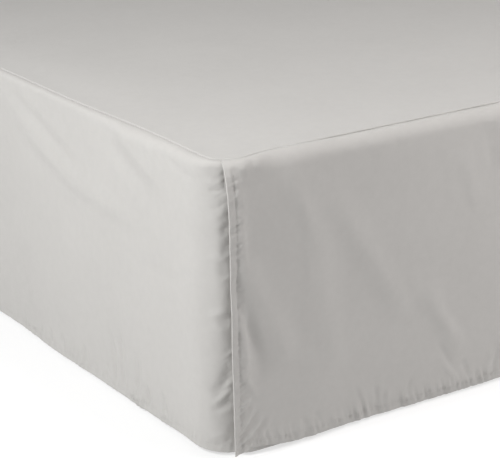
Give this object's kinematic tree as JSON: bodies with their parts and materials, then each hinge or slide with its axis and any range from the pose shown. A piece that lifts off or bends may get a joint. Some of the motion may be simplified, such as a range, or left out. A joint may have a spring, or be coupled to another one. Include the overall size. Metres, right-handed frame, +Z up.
{
  "type": "tailored bed skirt on a plain bed base",
  "caption": "Tailored cloth bed skirt with smooth straight drops and overlapped split corners, hanging from its platform over the edge of a plain box spring on a low steel frame.",
  "frame": {"origin": "on the floor under the middle of the bed", "axes": "+Z up, X across the bed, Y along it with the foot end at -Y and the open head end at +Y"},
  "size_m": [1.5335, 2.0411, 0.4077],
  "materials": {
    "skirt_cloth": "brushed microfibre, fine plain weave, soft sheen, warm light grey",
    "platform_cloth": "thin plain-woven cloth, matt, slightly paler than the drops",
    "ticking": "plain woven ticking, matt, off-white",
    "frame_steel": "black powder coat, fine texture",
    "glide_plastic": "moulded black plastic"
  },
  "bodies": {
    "root": {"platform": "platform_cloth", "side_drop_left": "skirt_cloth", "side_drop_right": "skirt_cloth", "foot_drop": "skirt_cloth", "box_spring": "ticking", "side_rail_left": "frame_steel", "side_rail_right": "frame_steel", "cross_rail_1": "frame_steel", "cross_rail_2": "frame_steel", "cross_rail_3": "frame_steel", "leg_left_1": "frame_steel", "leg_left_2": "frame_steel", "leg_left_3": "frame_steel", "leg_right_1": "frame_steel", "leg_right_2": "frame_steel", "leg_right_3": "frame_steel", "glide_left_1": "glide_plastic", "glide_left_2": "glide_plastic", "glide_left_3": "glide_plastic", "glide_right_1": "glide_plastic", "glide_right_2": "glide_plastic", "glide_right_3": "glide_plastic"}
  },
  "joints": []
}
